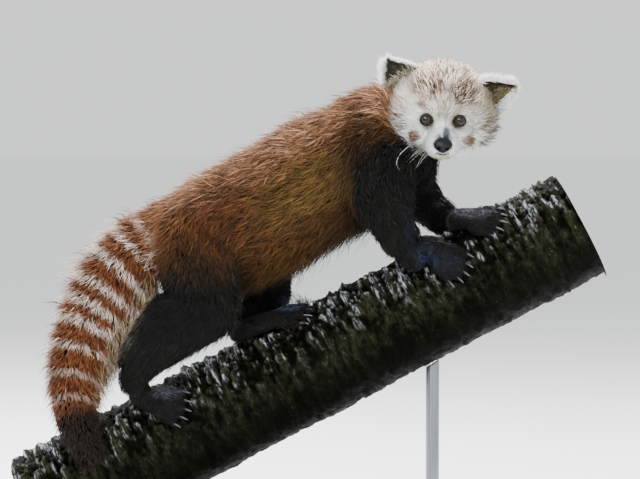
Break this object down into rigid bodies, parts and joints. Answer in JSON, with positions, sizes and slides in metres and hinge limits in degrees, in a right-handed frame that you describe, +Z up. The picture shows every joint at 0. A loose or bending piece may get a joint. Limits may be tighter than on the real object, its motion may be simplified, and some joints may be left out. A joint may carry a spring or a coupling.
{
  "type": "red panda model",
  "caption": "Life-size still model of a red panda climbing a sloping log, its head turned to the side, on a plain display stand.",
  "frame": {"origin": "middle of the underside of the stand's base", "axes": "+X up along the log's run and the animal's length, towards its chest; -Y the animal's right side, the way its face is turned; +Z up"},
  "size_m": [0.7901, 0.26, 0.7231],
  "materials": {
    "russet_fur": "dense fur, rust red over the back",
    "black_fur": "short dense fur, brownish black",
    "cream_fur": "short soft fur, cream white with rust marks",
    "tail_fur": "bushy fur, rust with pale rings",
    "tip_fur": "bushy fur, dark brown",
    "eye": "glossy, dark brown",
    "nose": "moist black skin, satin",
    "bark": "wet dark ridged bark",
    "base": "dark stained board, satin",
    "rod": "dark brushed steel"
  },
  "bodies": {
    "root": {"log": "bark", "stand_base": "base", "stand_rod_low": "rod", "stand_rod_high": "rod", "eye_right": "eye", "eye_left": "eye", "nose": "nose", "ear_right": "cream_fur", "ear_left": "cream_fur", "head": "cream_fur", "torso": "russet_fur", "neck": "russet_fur", "paw_hind_right": "black_fur", "shank_right": "black_fur", "thigh_right": "russet_fur", "paw_hind_left": "black_fur", "shank_left": "black_fur", "thigh_left": "russet_fur", "paw_fore_right": "black_fur", "forearm_right": "black_fur", "arm_right": "black_fur", "paw_fore_left": "black_fur", "forearm_left": "black_fur", "arm_left": "black_fur", "tail_root": "tail_fur", "tail_middle": "tail_fur", "tail_tip": "tip_fur"}
  },
  "joints": []
}
